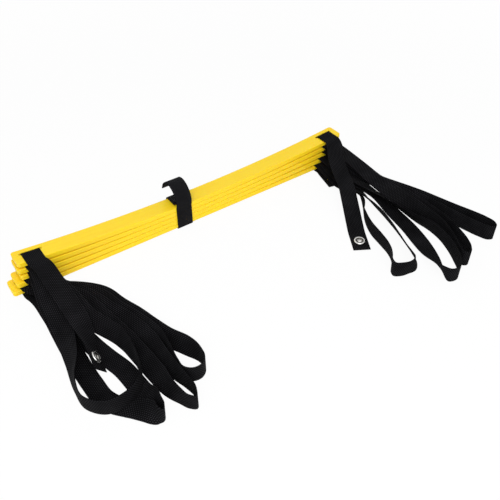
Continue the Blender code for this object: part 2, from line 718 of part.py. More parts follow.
def main():
    clear_scene()
    yellow = material("yellow_plastic", YELLOW, YELLOW_ROUGHNESS)
    black = material("black_webbing", CARBON, WEB_ROUGHNESS)
    nickel = material("nickel", NICKEL, NICKEL_ROUGHNESS, 1.0)
    for index in range(RUNG_COUNT):
        build_rung(index, yellow)
    left_shares = (LEFT_LOOP_1_SHARES, LEFT_LOOP_2_SHARES, LEFT_LOOP_3_SHARES, LEFT_LOOP_4_SHARES)
    right_shares = (RIGHT_LOOP_1_SHARES, RIGHT_LOOP_2_SHARES, RIGHT_LOOP_3_SHARES, RIGHT_LOOP_4_SHARES)
    for index, points in enumerate(left_shares):
        build_loop(f"left_loop_{index + 1}", index, -1, points, black)
    for index, points in enumerate(right_shares):
        build_loop(f"right_loop_{index + 1}", index, 1, points, black)
    top = RUNG_COUNT - 1
    build_end("left_top_end", top, -1, 1, LEFT_TOP_END_SHARES, LEFT_TOP_HEADING, black, nickel)
    build_end("right_top_end", top, 1, 1, RIGHT_TOP_END_SHARES, RIGHT_TOP_HEADING, black, nickel)
    build_end("left_bottom_end", 0, -1, -1, LEFT_BOTTOM_END_SHARES, LEFT_BOTTOM_HEADING, black, nickel)
    build_end("right_bottom_end", 0, 1, -1, RIGHT_BOTTOM_END_SHARES, RIGHT_BOTTOM_HEADING, black, nickel)
    build_tie(black)


main()
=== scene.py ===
"""Folded agility ladder with yellow slats, black webbing rails, press studs and a tie strap."""

import math

import bmesh
import bpy
from mathutils import Matrix, Vector


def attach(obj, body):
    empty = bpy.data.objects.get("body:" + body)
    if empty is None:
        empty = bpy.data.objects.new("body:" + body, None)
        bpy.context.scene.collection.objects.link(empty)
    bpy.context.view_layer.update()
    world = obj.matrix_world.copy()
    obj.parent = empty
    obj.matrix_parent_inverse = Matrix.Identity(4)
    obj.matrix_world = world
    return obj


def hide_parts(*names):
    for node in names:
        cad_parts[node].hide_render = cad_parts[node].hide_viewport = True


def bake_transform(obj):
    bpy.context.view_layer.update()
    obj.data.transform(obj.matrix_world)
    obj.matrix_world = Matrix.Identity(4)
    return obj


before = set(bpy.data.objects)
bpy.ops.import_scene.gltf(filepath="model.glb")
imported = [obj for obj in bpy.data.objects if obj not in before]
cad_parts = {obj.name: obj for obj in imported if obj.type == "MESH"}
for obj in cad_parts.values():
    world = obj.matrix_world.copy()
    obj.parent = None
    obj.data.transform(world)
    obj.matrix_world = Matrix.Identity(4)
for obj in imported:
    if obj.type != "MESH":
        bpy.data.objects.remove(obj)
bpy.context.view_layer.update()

# The camera looks down at the bundle from the front left, as the photograph does.
# Its lens takes in the whole bundle with little room to spare.
view = bpy.data.cameras.new("photo_view")
view.sensor_width = 36
view.lens = 45.29
view.clip_start = 0.01
camera = bpy.data.objects.new("photo_view", view)
camera.location = (-0.2723, -0.5263, 0.4713)
camera.rotation_euler = (math.radians(48.6), 0, math.radians(-35.4))
bpy.context.scene.collection.objects.link(camera)
bpy.context.scene.camera = camera

# The five slats are flat bars of bright yellow plastic, moulded with rounded edges and corners.
# Each has a slot near either end, which the webbing passes through, and where the webbing lies
# between two slats their ends are spread apart, so a slat higher up bows a little more.
MM = 0.001
SLAT_COUNT = 5
SLAT_LENGTH = 433 * MM
SLAT_WIDTH = 22 * MM
SLAT_THICKNESS = 5.6 * MM
SLAT_CORNER = 3.2 * MM
SLAT_EDGE = 0.6 * MM
SLAT_EDGE_STEPS = 4
SLAT_CORNER_STEPS = 6
SLAT_CUT = 9 * MM
SLOT_FROM_END = 18.5 * MM
SLOT_Y = 3.5 * MM
SLOT_WIDTH = 3.2 * MM
SLOT_LENGTH = 24.6 * MM
SLOT_EDGE = 0.55 * MM
SLOT_EDGE_STEPS = 3
SLOT_END_STEPS = 5
SLOT_ROUND_SHARE = 0.999
SHARP_FROM = math.radians(60)
SLAT_YELLOW = (1.0, 0.67, 0.01)
SLAT_DEEP = (0.96, 0.585, 0.006)
SLAT_PALE = (1.0, 0.73, 0.022)
BUNDLE_SHIFT = 17 * MM
SLAT_SLIDES = [-7 * MM, -1 * MM, 5 * MM, 4 * MM, 5.5 * MM]
STACK_CLEAR = 1.5 * MM
CLOSE_GAP = 0.3 * MM
WEB_GAP = 2.35 * MM
BOW_AT = SLAT_LENGTH / 2 - SLOT_FROM_END - SLOT_LENGTH / 2


def gap_at(x):
    """The gap between two slats at distance x from the middle of the bundle."""
    return CLOSE_GAP + (WEB_GAP - CLOSE_GAP) * (x / BOW_AT) ** 2


def slat_under(index, x):
    """The height of a slat's underside."""
    return STACK_CLEAR + index * (SLAT_THICKNESS + gap_at(x))


def baked(thing):
    """The finished mesh of an object with its modifiers applied."""
    bpy.context.view_layer.update()
    ready = thing.evaluated_get(bpy.context.evaluated_depsgraph_get())
    return bpy.data.meshes.new_from_object(ready)


def placed(name, mesh, *finishes):
    """A new object at the origin with the given mesh and materials."""
    for finish in finishes:
        mesh.materials.append(finish)
    thing = bpy.data.objects.new(name, mesh)
    bpy.context.scene.collection.objects.link(thing)
    return thing


def rounded_outline(length, width, corner, middle, steps):
    """A rectangle with round corners, as points in plan."""
    points = []
    for right, far, start in ((1, 1, 0), (-1, 1, 90), (-1, -1, 180), (1, -1, 270)):
        for step in range(steps + 1):
            angle = math.radians(start + 90 * step / steps)
            x = middle[0] + right * (length / 2 - corner) + corner * math.cos(angle)
            y = middle[1] + far * (width / 2 - corner) + corner * math.sin(angle)
            points.append((x, y))
    return points


def bar_mesh(name, outline, low, high):
    """A straight bar with the given outline between two heights."""
    shape = bmesh.new()
    face = shape.faces.new([shape.verts.new((x, y, low)) for x, y in outline])
    raised = bmesh.ops.extrude_face_region(shape, geom=[face])
    moved = [v for v in raised["geom"] if isinstance(v, bmesh.types.BMVert)]
    bmesh.ops.translate(shape, verts=moved, vec=(0, 0, high - low))
    bmesh.ops.recalc_face_normals(shape, faces=shape.faces)
    mesh = bpy.data.meshes.new(name)
    shape.to_mesh(mesh)
    shape.free()
    return mesh


def round_edges(thing, width, segments):
    """Rounds every sharp edge of a piece."""
    bevel = thing.modifiers.new("rounding", "BEVEL")
    bevel.width = width
    bevel.segments = segments
    bevel.limit_method = "ANGLE"
    bevel.angle_limit = SHARP_FROM


def bow_slat(mesh, index, slide):
    """Cuts a straight slat across at even steps and bends it over the webbing at its ends."""
    shape = bmesh.new()
    shape.from_mesh(mesh)
    cuts = round(SLAT_LENGTH / SLAT_CUT)
    for cut in range(1, cuts):
        at = SLAT_LENGTH * (cut / cuts - 0.5)
        bmesh.ops.bisect_plane(
            shape, geom=shape.verts[:] + shape.edges[:] + shape.faces[:], dist=1e-7,
            plane_co=(at, 0, 0), plane_no=(1, 0, 0),
        )
    for vert in shape.verts:
        along = vert.co.x + slide
        vert.co.z += slat_under(index, along)
        vert.co.x += BUNDLE_SHIFT + slide
    shape.to_mesh(mesh)
    shape.free()


def socket(node, name):
    """The input of a node that has this name and is enabled."""
    return next(s for s in node.inputs if s.name == name and s.enabled)


def wire(tree, kind, *sources, **settings):
    """A node with its settings, whose first inputs come from other nodes or are plain values."""
    node = tree.nodes.new(kind)
    for key, value in settings.items():
        setattr(node, key, value)
    for slot, source in zip([s for s in node.inputs if s.enabled], sources):
        if source is None:
            continue
        if hasattr(source, "is_linked"):
            tree.links.new(source, slot)
        else:
            slot.default_value = source
    return node


def new_finish(name, colour, roughness, metallic=0.0):
    """A new material with the constants set on its shader."""
    finish = bpy.data.materials.new(name)
    finish.use_nodes = True
    shader = finish.node_tree.nodes["Principled BSDF"]
    shader.inputs["Base Color"].default_value = (*colour, 1)
    shader.inputs["Roughness"].default_value = roughness
    shader.inputs["Metallic"].default_value = metallic
    return finish, finish.node_tree, shader


def colour_mix(tree, share, low, high):
    """A colour between two, by a share from another node."""
    node = tree.nodes.new("ShaderNodeMix")
    node.data_type = "RGBA"
    tree.links.new(share, node.inputs["Factor"])
    for name, value in (("A", low), ("B", high)):
        slot = next(s for s in node.inputs if s.name == name and s.type == "RGBA")
        if hasattr(value, "is_linked"):
            tree.links.new(value, slot)
        else:
            slot.default_value = (*value, 1)
    return next(s for s in node.outputs if s.type == "RGBA")


def yellow_plastic():
    """Moulded plastic with faint clouding, flow lines along the bar and fine scuffs."""
    finish, tree, shader = new_finish("yellow_plastic", SLAT_YELLOW, 0.4)
    shader.inputs["Specular IOR Level"].default_value = 0.32
    shader.inputs["Subsurface Weight"].default_value = 0.35
    shader.inputs["Subsurface Radius"].default_value = (1, 0.7, 0.12)
    shader.inputs["Subsurface Scale"].default_value = 2.5 * MM
    place = tree.nodes.new("ShaderNodeTexCoord").outputs["Object"]
    cloud = wire(tree, "ShaderNodeTexNoise", place)
    cloud.inputs["Scale"].default_value = 34
    cloud.inputs["Detail"].default_value = 4
    stretched = wire(tree, "ShaderNodeMapping", place)
    stretched.inputs["Scale"].default_value = (5, 160, 160)
    flow = wire(tree, "ShaderNodeTexNoise", stretched.outputs[0])
    flow.inputs["Scale"].default_value = 3
    flow.inputs["Detail"].default_value = 5
    tint = colour_mix(tree, cloud.outputs["Fac"], SLAT_DEEP, SLAT_YELLOW)
    tree.links.new(colour_mix(tree, flow.outputs["Fac"], SLAT_PALE, tint), shader.inputs["Base Color"])
    scuff = wire(tree, "ShaderNodeMapping", place)
    scuff.inputs["Rotation"].default_value = (0, 0, 0.5)
    scuff.inputs["Scale"].default_value = (40, 700, 300)
    scratch = wire(tree, "ShaderNodeTexNoise", scuff.outputs[0])
    scratch.inputs["Scale"].default_value = 2
    rough = wire(tree, "ShaderNodeMapRange", scratch.outputs["Fac"], 0.35, 0.75, 0.3, 0.5)
    tree.links.new(rough.outputs[0], shader.inputs["Roughness"])
    grain = wire(tree, "ShaderNodeTexNoise", place)
    grain.inputs["Scale"].default_value = 900
    bump = tree.nodes.new("ShaderNodeBump")
    bump.inputs["Strength"].default_value = 0.12
    bump.inputs["Distance"].default_value = 0.0002
    tree.links.new(grain.outputs["Fac"], bump.inputs["Height"])
    tree.links.new(bump.outputs["Normal"], shader.inputs["Normal"])
    return finish


plastic = yellow_plastic()
for index, slide in enumerate(SLAT_SLIDES):
    name = f"slat_{index + 1}"
    outline = rounded_outline(SLAT_LENGTH, SLAT_WIDTH, SLAT_CORNER, (0, 0), SLAT_CORNER_STEPS)
    rough_bar = placed("rough_bar", bar_mesh("rough_bar", outline, 0, SLAT_THICKNESS))
    round_edges(rough_bar, SLAT_EDGE, SLAT_EDGE_STEPS)
    cutters = []
    for side in (-1, 1):
        middle = (side * (SLAT_LENGTH / 2 - SLOT_FROM_END), SLOT_Y)
        end_round = SLOT_WIDTH / 2 * SLOT_ROUND_SHARE
        hole = rounded_outline(SLOT_LENGTH, SLOT_WIDTH, end_round, middle, SLOT_END_STEPS)
        cutter = placed("slot_cutter", bar_mesh("slot_cutter", hole, -SLAT_THICKNESS, 2 * SLAT_THICKNESS))
        cut = rough_bar.modifiers.new("slot", "BOOLEAN")
        cut.object = cutter
        cutters.append(cutter)
    round_edges(rough_bar, SLOT_EDGE, SLOT_EDGE_STEPS)
    mesh = baked(rough_bar)
    for thing in cutters + [rough_bar]:
        bpy.data.objects.remove(thing)
    bow_slat(mesh, index, slide)
    mesh.polygons.foreach_set("use_smooth", [True] * len(mesh.polygons))
    mesh.materials.clear()
    slat = placed(name, mesh, plastic)
    even = slat.modifiers.new("even_shading", "WEIGHTED_NORMAL")
    even.weight = 60
    slat.data = baked(slat)
    slat.modifiers.clear()
    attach(slat, f"rung_{index + 1}")
    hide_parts(f"rung_{index + 1}")

# The two rails are strips of black nylon webbing that pass up through the slots of all the slats
# and lie in a loose loop between each two. A loop is a table of the places that its middle line
# goes through, in millimetres from its slot, each with the roll of the webbing there in degrees.
WEB_WIDTH = 20 * MM
WEB_THICKNESS = 0.8 * MM
WEB_SELVEDGE_SHARE = 0.45
WEB_BEND = 1.35 * MM
WEB_BEND_STEPS = 4
WEB_STEP = 2.2 * MM
WEB_TURN = 4.0
WEB_FLOAT = 2.3 * MM
WEB_COLUMN = 1.7 * MM
WEB_SHEEN = 0.006
# The weave runs from this black, as painted shade between the floats, to the paler colour below, as painted
# highlight on their crowns.
WEB_BLACK = (0.0004, 0.0004, 0.0005)
WEB_LIT_CROWN = (0.036, 0.0355, 0.04)
LEFT_LOOPS = [
    [
        (4.5, -21, 8.9, 1), (17, -33, 8.4, 5), (41, -60, 6.9, 20), (51.5, -97, 9.4, 46),
        (61, -125, 9.4, 50), (66.8, -150, 9.6, 60), (67, -175, 10.3, 82), (65.5, -192, 10.3, 90),
        (65.5, -203, 10.3, 90), (71, -209, 10.3, 90), (80, -210, 10.3, 90), (87, -204.5, 10.3, 90),
        (88.5, -193, 10.2, 82), (84, -175, 9, 58), (75.5, -157, 8.8, 54), (69.5, -137, 8.8, 54),
        (63.5, -115, 9, 52), (57, -97, 9.2, 50), (47, -60, 5.6, 22), (20, -33, 6.8, 5),
        (-1, -20, 7.7, 1),
    ],
    [
        (8, -32, 16, 2), (26, -62, 12.8, 18), (34.5, -97, 9.8, 38), (41, -130, 7.7, 40),
        (44.2, -160, 6.6, 34), (45.8, -188, 7.2, 40), (46.5, -208, 9.2, 62), (49.5, -222, 10.3, 80),
        (53, -232, 10.3, 88), (58, -236.5, 10.3, 90), (62.5, -229, 10.3, 90), (62.5, -212, 10.3, 84),
        (60.5, -198, 9.8, 72), (58.5, -176, 8.6, 52), (59, -150, 8, 46), (55, -125, 8.6, 44),
        (45, -97, 10.2, 42), (32.5, -60, 9.7, 20), (14, -33, 14.2, 5), (3.5, -20, 15.7, 1),
    ],
    [
        (1, -32, 24, 0), (-4, -62, 16.5, 0), (-6, -97, 8, 2), (-6.5, -130, 2.6, 0), (-6, -158, 0.8, 0),
        (-4, -180, 0.7, 0), (1.5, -191.5, 0.7, 0), (8.5, -200, 1.4, 4), (15, -208.2, 3.1, 14),
        (19.5, -216, 6, 32), (22.5, -223.7, 8.8, 54), (24.5, -228.3, 10.2, 76), (27.6, -231.4, 10.3, 86),
        (30.9, -228, 10.3, 88), (31, -219.5, 10.1, 76), (30, -210.5, 8.3, 50), (28.5, -201.5, 4.6, 24),
        (27.3, -192, 1.4, 5), (26.5, -180, 0.8, 0), (24.5, -160, 0.8, 0), (18.5, -138, 0.8, 0),
        (13, -115, 1.6, 0), (9.5, -97, 4.4, 0), (9.5, -62, 12.9, 2), (9, -30, 22.6, 1),
    ],
    [
        (4, -32, 31.2, -1), (-1, -62, 24, 3), (-5, -97, 16, 18), (-12, -130, 13, 48),
        (-21.5, -160, 13, 80), (-22.5, -183, 14, 90), (-9, -199.5, 15, 90), (12, -200.5, 15.5, 90),
        (29.5, -190, 15, 90), (36.5, -167, 14, 84), (36, -135, 14.5, 62), (21.5, -97, 18.5, 40),
        (15, -60, 24.5, 18), (8, -30, 29.9, 2),
    ],
]
RIGHT_LOOPS = [
    [
        (-5, -32, 8.1, 0), (-9, -62, 7.3, -8), (-8.5, -84, 7.5, -26), (-11.5, -104, 9.4, -48),
        (-17, -138, 9.6, -62), (-24, -163, 9.4, -62), (-31.5, -184, 9.2, -60), (-38.5, -202, 9.2, -60),
        (-44, -214, 9.6, -66), (-51, -221.5, 10.2, -80), (-60, -222.5, 10.3, -88),
        (-69.5, -220, 10.3, -90), (-76, -215, 10.3, -90), (-74, -209, 10.3, -88),
        (-68, -203.5, 10.3, -84), (-62.5, -197, 10.3, -82), (-57, -186, 10.3, -82),
        (-53, -171, 10.3, -84), (-48, -150, 10.3, -85), (-37.5, -128, 10.3, -82),
        (-25.5, -111, 10.3, -74), (-17, -100, 10, -58), (-13, -91, 8.2, -40), (-12, -82, 6, -25),
        (-13.5, -62, 5, -6), (-10, -32, 6.6, 0),
    ],
    [
        (2, -32, 16, 0), (1.5, -62, 12.5, -8), (2.5, -84, 11.4, -20), (2.5, -104, 11.9, -32),
        (4, -138, 12, -50), (7.5, -165, 9.9, -64), (10.5, -184, 10, -74), (9.5, -200, 10.2, -80),
        (4, -219, 10.3, -86), (-4.5, -237, 10.3, -90), (-14, -251, 10.3, -90),
        (-25.5, -258.5, 10.3, -90), (-34.5, -256, 10.3, -86), (-35, -246, 9.9, -68),
        (-29, -233, 6.9, -38), (-20.5, -217, 3.3, -14), (-11.5, -196, 1.1, 0), (-3, -168, 1, 0),
        (1.5, -138, 2.7, -4), (4.5, -104, 7, -14), (1.5, -84, 8.5, -14), (-2, -62, 9.8, -9),
        (-1, -30, 14.5, 0),
    ],
    [
        (6, -32, 24, 0), (11, -62, 18.8, 5), (20, -95, 14.2, 20), (28.5, -125, 11.6, 46),
        (35, -148, 10.8, 68), (40.5, -168, 10.4, 82), (45, -190, 10.3, 90), (48.5, -210, 10.3, 90),
        (52, -225, 10.3, 90), (56, -234.5, 10.3, 90), (61.5, -237, 10.3, 90), (65.5, -232, 10.3, 90),
        (65.5, -220, 10.3, 90), (62, -205, 10.3, 90), (56, -187, 10.3, 88), (49, -167, 10.4, 80),
        (42, -148, 10.8, 66), (33.5, -125, 11.2, 44), (24, -95, 11.6, 20), (11, -62, 15.9, 5),
        (6, -30, 22.6, 0),
    ],
    [
        (8.5, -32, 31.5, 0), (10.5, -62, 26.5, 4), (12.5, -95, 19.8, 16), (16.5, -125, 14.8, 38),
        (19.5, -148, 12, 62), (22, -168, 10.8, 82), (22, -190, 10.3, 90), (17, -206, 10.3, 90),
        (8.5, -224, 10.3, 90), (0.5, -238, 10.3, 90), (-2.5, -246, 10.3, 90), (2, -249.5, 10.3, 90),
        (10, -244, 10.3, 90), (17, -233, 10.3, 90), (23, -217, 10.3, 90), (28, -200, 10.3, 90),
        (30, -180, 10.3, 88), (29, -165, 10.6, 80), (26.5, -148, 11.5, 66), (22.5, -125, 13.5, 44),
        (16, -95, 17, 19), (11.5, -62, 22.6, 5), (6, -30, 29.9, 0),
    ],
]


def slat_top_slope(index, x, up):
    """The slope along the bundle of the webbing's run above or below a slat."""
    if up > 0 and index == SLAT_COUNT - 1:
        rise = index
    elif up > 0:
        rise = index + 0.5
    else:
        rise = max(index - 0.5, 0)
    return math.atan(rise * (WEB_GAP - CLOSE_GAP) * 2 * x / BOW_AT**2)


def slot_x(index, side):
    """How far along the bundle a slot's middle lies."""
    return side * (SLAT_LENGTH / 2 - SLOT_FROM_END) + SLAT_SLIDES[index]


def run_level(index, x, up):
    """The middle height of the webbing where it lies above or below a slat."""
    half = (WEB_THICKNESS + CLOSE_GAP) / 2
    if up > 0 and index == SLAT_COUNT - 1:
        return slat_under(index, x) + SLAT_THICKNESS + WEB_THICKNESS / 2 + CLOSE_GAP
    if up < 0 and index == 0:
        return slat_under(index, x) - WEB_THICKNESS / 2 - CLOSE_GAP
    lower = index if up > 0 else index - 1
    middle = slat_under(lower, x) + SLAT_THICKNESS + gap_at(x) / 2
    return middle - up * half


def slot_turn(index, side, up):
    """Knots from inside a slot, round its near edge, to the slat's near edge."""
    x = slot_x(index, side)
    slope = slat_top_slope(index, x, up)
    level = run_level(index, x, up)
    wide = Vector((math.cos(slope), 0, math.sin(slope)))
    start = slat_under(index, x) + SLAT_THICKNESS / 2 + up * CLOSE_GAP / 2
    knots = [(Vector((x, SLOT_Y, start)), wide)]
    for step in range(WEB_BEND_STEPS + 1):
        angle = math.radians(90 * step / WEB_BEND_STEPS)
        y = SLOT_Y - WEB_BEND * (1 - math.cos(angle))
        knots.append((Vector((x, y, level - up * WEB_BEND * (1 - math.sin(angle)))), wide))
    knots.append((Vector((x, -SLAT_WIDTH / 4, level)), wide))
    knots.append((Vector((x, -SLAT_WIDTH / 2, level)), wide))
    return knots


def lay_width(heading, roll):
    """The webbing's width direction for a heading in plan and a roll about it, in degrees."""
    flat = Vector((-heading.y, heading.x, 0)).normalized()
    if flat.x < 0:
        flat = -flat
    turn = math.radians(roll)
    return flat * math.cos(turn) + Vector((0, 0, 1)) * math.sin(turn)


def loose_knots(points, side):
    """Knots of a loose stretch, from places in millimetres from the unslid slot and a roll."""
    slot = Vector((side * (SLAT_LENGTH / 2 - SLOT_FROM_END), 0, 0))
    places = [slot + Vector(p[:3]) * MM for p in points]
    knots = []
    for i, point in enumerate(points):
        ahead = places[min(i + 1, len(points) - 1)]
        behind = places[max(i - 1, 0)]
        knots.append((places[i], lay_width(ahead - behind, point[3])))
    return knots


def smooth_run(knots):
    """Fine samples on a smooth curve through knots of a place and a width direction."""
    samples = []
    last = len(knots) - 1
    for i in range(last):
        p0, p1, p2, p3 = (knots[min(max(i + k, 0), last)] for k in (-1, 0, 1, 2))
        d1 = (p2[0] - p1[0]).length
        d0 = max((p1[0] - p0[0]).length, 1e-9) if i > 0 else d1
        d2 = max((p3[0] - p2[0]).length, 1e-9) if i < last - 1 else d1
        twist = math.degrees(p1[1].angle(p2[1]))
        steps = max(1, round(d1 / WEB_STEP), math.ceil(twist / WEB_TURN))
        for s in range(steps):
            t = s / steps
            pair = []
            for c in (0, 1):
                a, b, e, f = p0[c], p1[c], p2[c], p3[c]
                m1 = d1 * ((b - a) / d0 - (e - a) / (d0 + d1) + (e - b) / d1)
                m2 = d1 * ((e - b) / d1 - (f - b) / (d1 + d2) + (f - e) / d2)
                rise = 3 * t**2 - 2 * t**3
                pair.append(b * (1 - rise) + m1 * (t**3 - 2 * t**2 + t) + e * rise + m2 * (t**3 - t**2))
            samples.append((pair[0], pair[1].normalized()))
    samples.append(knots[-1])
    return samples


def laid_run(knots):
    """The fine samples of a run of webbing, moved to where the bundle lies."""
    return [(place + Vector((BUNDLE_SHIFT, 0, 0)), wide) for place, wide in smooth_run(knots)]


def route_mesh(name, samples):
    """A line of edges through the samples that carries the facing direction at each."""
    mesh = bpy.data.meshes.new(name)
    mesh.from_pydata([tuple(p) for p, wide in samples], [(i, i + 1) for i in range(len(samples) - 1)], [])
    facing = mesh.attributes.new("facing", "FLOAT_VECTOR", "POINT")
    last = len(samples) - 1
    for i, (place, wide) in enumerate(samples):
        tangent = (samples[min(i + 1, last)][0] - samples[max(i - 1, 0)][0]).normalized()
        across = (wide - tangent * wide.dot(tangent)).normalized()
        facing.data[i].vector = tangent.cross(across)
    return mesh


def tree_with(name, *inputs):
    """A Geometry Nodes tree with its named inputs, and the identifier of each."""
    tree = bpy.data.node_groups.new(name, "GeometryNodeTree")
    tree.interface.new_socket("Geometry", in_out="INPUT", socket_type="NodeSocketGeometry")
    idents = {}
    for label, kind in inputs:
        made = tree.interface.new_socket(label, in_out="INPUT", socket_type=f"NodeSocket{kind}")
        idents[label] = made.identifier
    tree.interface.new_socket("Geometry", in_out="OUTPUT", socket_type="NodeSocketGeometry")
    entry = tree.nodes.new("NodeGroupInput")
    return tree, idents, entry


def finish_tree(tree, entry, geometry):
    """Ends a tree in Realize Instances and Set Material."""
    whole = wire(tree, "GeometryNodeRealizeInstances", geometry)
    painted = wire(tree, "GeometryNodeSetMaterial", whole.outputs[0], None, entry.outputs["Finish"])
    tree.links.new(painted.outputs[0], tree.nodes.new("NodeGroupOutput").inputs[0])


def grown(name, mesh, tree, idents, values):
    """Runs a tree on a mesh and gives the plain mesh that it makes."""
    seedling = placed(name, mesh)
    growth = seedling.modifiers.new("growth", "NODES")
    growth.node_group = tree
    for label, value in values.items():
        growth[idents[label]] = value
    result = baked(seedling)
    bpy.data.objects.remove(seedling)
    return result


def strip_tree():
    """Sweeps a flat strip with rounded selvedges along a route that says which way it faces."""
    tree, idents, entry = tree_with(
        "woven_strip", ("Width", "Float"), ("Thickness", "Float"), ("Selvedge", "Float"),
        ("Finish", "Material"),
    )
    run = wire(tree, "GeometryNodeMeshToCurve", entry.outputs["Geometry"])
    faced = wire(tree, "GeometryNodeInputNamedAttribute", "facing", data_type="FLOAT_VECTOR")
    aimed = wire(tree, "GeometryNodeSetCurveNormal", run.outputs[0], None, faced.outputs[0], mode="FREE")
    distance = tree.nodes.new("GeometryNodeSplineParameter").outputs["Length"]
    measured = wire(tree, "GeometryNodeStoreNamedAttribute", aimed.outputs[0], None, "along", distance)
    sides = (entry.outputs["Thickness"], entry.outputs["Width"])
    flat = wire(tree, "GeometryNodeCurvePrimitiveQuadrilateral", *sides)
    rounded = wire(tree, "GeometryNodeFilletCurve", flat.outputs[0], mode="POLY")
    socket(rounded, "Count").default_value = 2
    tree.links.new(entry.outputs["Selvedge"], socket(rounded, "Radius"))
    finer = wire(tree, "GeometryNodeSubdivideCurve", rounded.outputs[0], 2)
    spread = wire(tree, "ShaderNodeSeparateXYZ", tree.nodes.new("GeometryNodeInputPosition").outputs[0])
    across = spread.outputs["Y"]
    section = wire(tree, "GeometryNodeStoreNamedAttribute", finer.outputs[0], None, "across", across)
    strip = wire(tree, "GeometryNodeCurveToMesh", measured.outputs[0], section.outputs[0])
    socket(strip, "Fill Caps").default_value = True
    length = wire(tree, "GeometryNodeInputNamedAttribute", "along", data_type="FLOAT")
    width = wire(tree, "GeometryNodeInputNamedAttribute", "across", data_type="FLOAT")
    pair = wire(tree, "ShaderNodeCombineXYZ", length.outputs[0], width.outputs[0])
    mapped = wire(
        tree, "GeometryNodeStoreNamedAttribute", strip.outputs[0], None, "weave", pair.outputs[0],
        data_type="FLOAT2", domain="CORNER",
    )
    smooth = wire(tree, "GeometryNodeSetShadeSmooth", mapped.outputs[0])
    finish_tree(tree, entry, smooth.outputs[0])
    return tree, idents


STRIP_TREE, STRIP_INPUTS = strip_tree()


def woven_strip(name, samples, width, thickness, finish):
    """A finished strip of webbing along a run of samples."""
    selvedge = thickness * WEB_SELVEDGE_SHARE
    values = {"Width": width, "Thickness": thickness, "Selvedge": selvedge, "Finish": finish}
    mesh = grown(name, route_mesh(name, samples), STRIP_TREE, STRIP_INPUTS, values)
    return placed(name, mesh)


def woven_black(name, rib, column, low, high, sheen):
    """Woven nylon: raised floats in offset columns with painted highlight on their crowns and painted shade
    between them, and a faint sheen.
    """
    finish, tree, shader = new_finish(name, low, 0.62)
    shader.inputs["Sheen Weight"].default_value = sheen
    shader.inputs["Sheen Roughness"].default_value = 0.45
    shader.inputs["Specular IOR Level"].default_value = 0.015
    weave = tree.nodes.new("ShaderNodeUVMap")
    weave.uv_map = "weave"
    parts = wire(tree, "ShaderNodeSeparateXYZ", weave.outputs[0])
    row = wire(tree, "ShaderNodeMath", parts.outputs["X"], rib, operation="DIVIDE")
    across = wire(tree, "ShaderNodeMath", parts.outputs["Y"], column, operation="DIVIDE")
    lane = wire(tree, "ShaderNodeMath", across.outputs[0], operation="FLOOR")
    shift = wire(tree, "ShaderNodeMath", lane.outputs[0], 0.5, row.outputs[0], operation="MULTIPLY_ADD")
    waves = []
    for source in (shift, across):
        angle = wire(tree, "ShaderNodeMath", source.outputs[0], math.pi, operation="MULTIPLY")
        wave = wire(tree, "ShaderNodeMath", angle.outputs[0], operation="SINE")
        full = wire(tree, "ShaderNodeMath", wave.outputs[0], operation="ABSOLUTE")
        waves.append(wire(tree, "ShaderNodeMath", full.outputs[0], 0.6, operation="POWER"))
    height = wire(tree, "ShaderNodeMath", waves[0].outputs[0], waves[1].outputs[0], operation="MULTIPLY")
    place = tree.nodes.new("ShaderNodeTexCoord").outputs["Object"]
    patch = wire(tree, "ShaderNodeTexNoise", place)
    patch.inputs["Scale"].default_value = 60
    patch.inputs["Detail"].default_value = 5
    lint = wire(tree, "ShaderNodeMapRange", patch.outputs["Fac"], 0.3, 0.7, 0.55, 1.0)
    # Painted highlight on the crowns of the floats, painted shade in the hollows between them.
    crown_highlight = wire(tree, "ShaderNodeMath", height.outputs[0], 3.2, operation="POWER")
    share = wire(tree, "ShaderNodeMath", crown_highlight.outputs[0], lint.outputs[0], operation="MULTIPLY")
    tree.links.new(colour_mix(tree, share.outputs[0], low, high), shader.inputs["Base Color"])
    rough = wire(tree, "ShaderNodeMapRange", share.outputs[0], 0, 1, 0.75, 0.5)
    tree.links.new(rough.outputs[0], shader.inputs["Roughness"])
    bump = tree.nodes.new("ShaderNodeBump")
    bump.inputs["Strength"].default_value = 1
    bump.inputs["Distance"].default_value = 0.00022
    tree.links.new(height.outputs[0], bump.inputs["Height"])
    tree.links.new(bump.outputs["Normal"], shader.inputs["Normal"])
    return finish


webbing = woven_black("black_webbing", WEB_FLOAT, WEB_COLUMN, WEB_BLACK, WEB_LIT_CROWN, WEB_SHEEN)
for side, word, loops in ((-1, "left", LEFT_LOOPS), (1, "right", RIGHT_LOOPS)):
    for lower, points in enumerate(loops):
        down = slot_turn(lower + 1, side, -1)
        back = list(reversed(slot_turn(lower, side, 1)))
        samples = laid_run(down + loose_knots(points, side) + back)
        loop = woven_strip(f"{word}_rail_loop_{lower + 1}", samples, WEB_WIDTH, WEB_THICKNESS, webbing)
        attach(loop, "rails")
        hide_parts(f"{word}_loop_{lower + 1}")

# The rails end in four free tongues of the same webbing, cut straight and heat sealed.
# The two top ones come out over the top slat, bend at its edge and lie out to the front; the two
# bottom ones come out under the bottom slat. Each row ends with the way its straight end points.
SEAM_RUN = 4 * MM
TONGUE_STRAIGHT = 28 * MM
TONGUE_STEPS = 4
TONGUES = [
    ("left_top", 4, -1, 1, [
        (8, -24, 39.3, -2), (9.5, -45, 35.5, 0), (10.5, -72, 30.8, 0), (11, -98, 26.5, -8),
        (10, -116, 22, -34), (7.5, -130, 17.5, -60),
    ], (-2, -20, -5)),
    ("right_top", 4, 1, 1, [
        (2.5, -24, 39, 2), (-7.5, -39, 32.3, 1), (-17.5, -62, 23, 0), (-25.5, -81, 18.8, 0),
        (-35, -97, 14.8, 0), (-44.5, -113, 10, 0), (-52, -126, 5.2, 0), (-61, -141, 1.9, 0),
    ], (-10, -17, -0.2)),
    ("left_bottom", 0, -1, -1, [
        (-5, -24, 1.3, 0), (-3.5, -40, 1.8, 0),
    ], (0, -1, 0)),
    ("right_bottom", 0, 1, -1, [
        (-7.7, -19, 1.3, 0), (-10.2, -27, 1.8, 0),
    ], (-3, -12, 0)),
]


